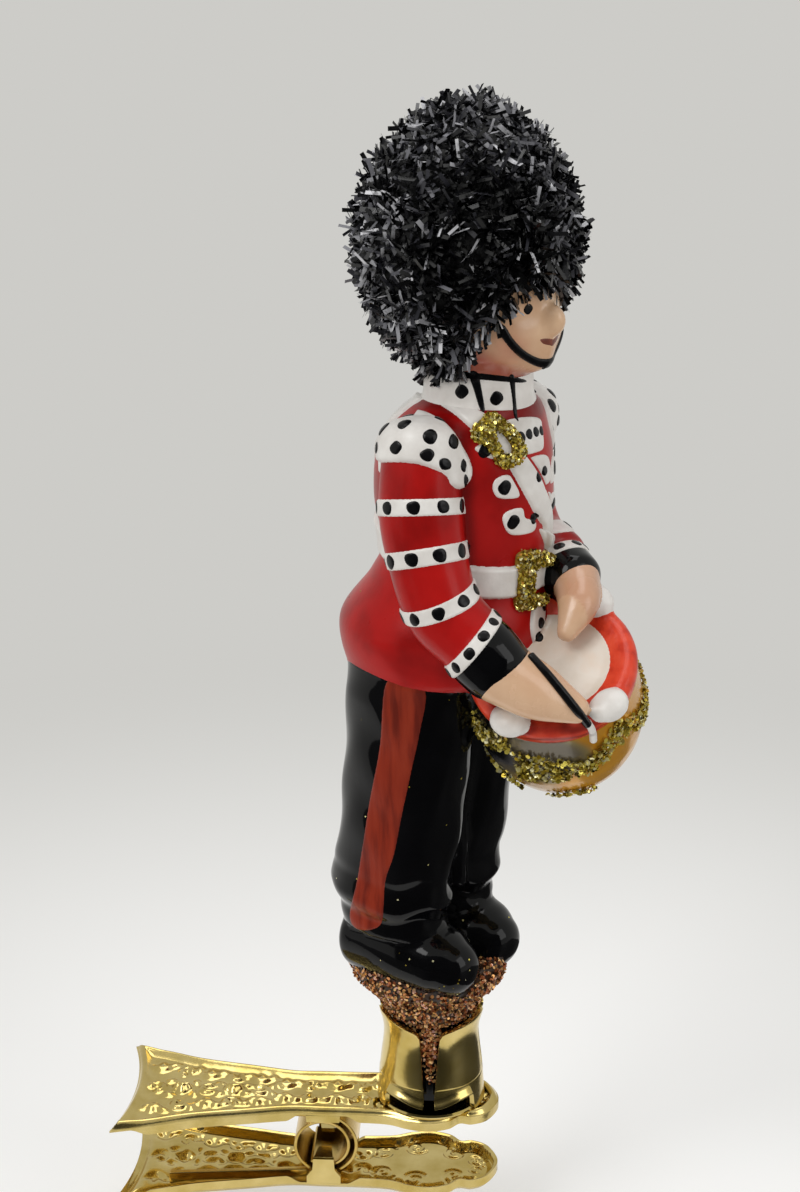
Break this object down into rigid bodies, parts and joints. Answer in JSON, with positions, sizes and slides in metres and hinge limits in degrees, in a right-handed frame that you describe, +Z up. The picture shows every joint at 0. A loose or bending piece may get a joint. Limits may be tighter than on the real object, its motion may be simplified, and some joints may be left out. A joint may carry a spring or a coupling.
{
  "type": "guard drummer clip ornament",
  "caption": "Painted glass guardsman with a tall tinsel bearskin cap and a side drum, held by its neck in the sprung tube of a stamped gilt clip with a coil-sprung jaw.",
  "frame": {"origin": "middle of the clip's jaw gap, straight below the figure's axis", "axes": "+Z up along the figure, +X along the clip from the handle towards the jaw tip, +Y away from the picture's camera"},
  "size_m": [0.0535, 0.0293, 0.1144],
  "materials": {
    "gilt_sheet": "polished gilt stamped sheet",
    "spring_strip": "bright spring strip",
    "black_glass": "gloss black paint on blown glass",
    "red_glass": "satin pearl red paint on blown glass",
    "skin_glass": "pearl flesh paint on blown glass",
    "white_paint": "raised white paint with black dots",
    "tinsel": "chopped black foil strips glued on glass",
    "copper_glitter": "copper glitter on black",
    "gold_glitter": "gold glitter",
    "drum_gold": "gold paint over silver with gold glitter swags",
    "drum_skin": "pearl white paint",
    "hoop_red": "gloss orange red paint"
  },
  "bodies": {
    "figure_on_upper_jaw": {"upper_jaw": "gilt_sheet", "coil_spring": "spring_strip", "pike_holder": "gilt_sheet", "holder_rivet": "gilt_sheet", "coat": "red_glass", "right_leg": "black_glass", "left_leg": "black_glass", "right_boot": "black_glass", "left_boot": "black_glass", "glitter_base": "copper_glitter", "pike": "black_glass", "head": "skin_glass", "collar": "white_paint", "bearskin": "tinsel", "right_sleeve": "red_glass", "left_sleeve": "red_glass", "right_wing": "white_paint", "left_wing": "white_paint", "drum_shell": "drum_gold", "drum_head": "drum_skin", "drum_hoop": "hoop_red", "drum_ear_far": "white_paint", "drum_ear_front": "white_paint", "drum_ear_near": "white_paint", "right_cuff": "black_glass", "left_cuff": "black_glass", "drumstick": "black_glass", "right_hand": "skin_glass", "left_hand": "skin_glass", "waist_belt_front": "white_paint", "crossbelt_front": "white_paint", "waist_belt_back": "white_paint", "crossbelt_back": "white_paint", "chest_buckle": "gold_glitter", "waist_buckle": "gold_glitter"},
    "lower_jaw_body": {"lower_jaw": "gilt_sheet"}
  },
  "joints": [
    {"name": "jaw_hinge", "type": "hinge", "parent": "figure_on_upper_jaw", "child": "lower_jaw_body", "pos_m": [-0.0112, 0, 0], "axis": [0, -1, 0], "range_deg": [-17, 19], "stiffness_Nm_per_rad": 0.06, "springref_deg": 34.38, "deforming": ["coil_spring"]}
  ]
}
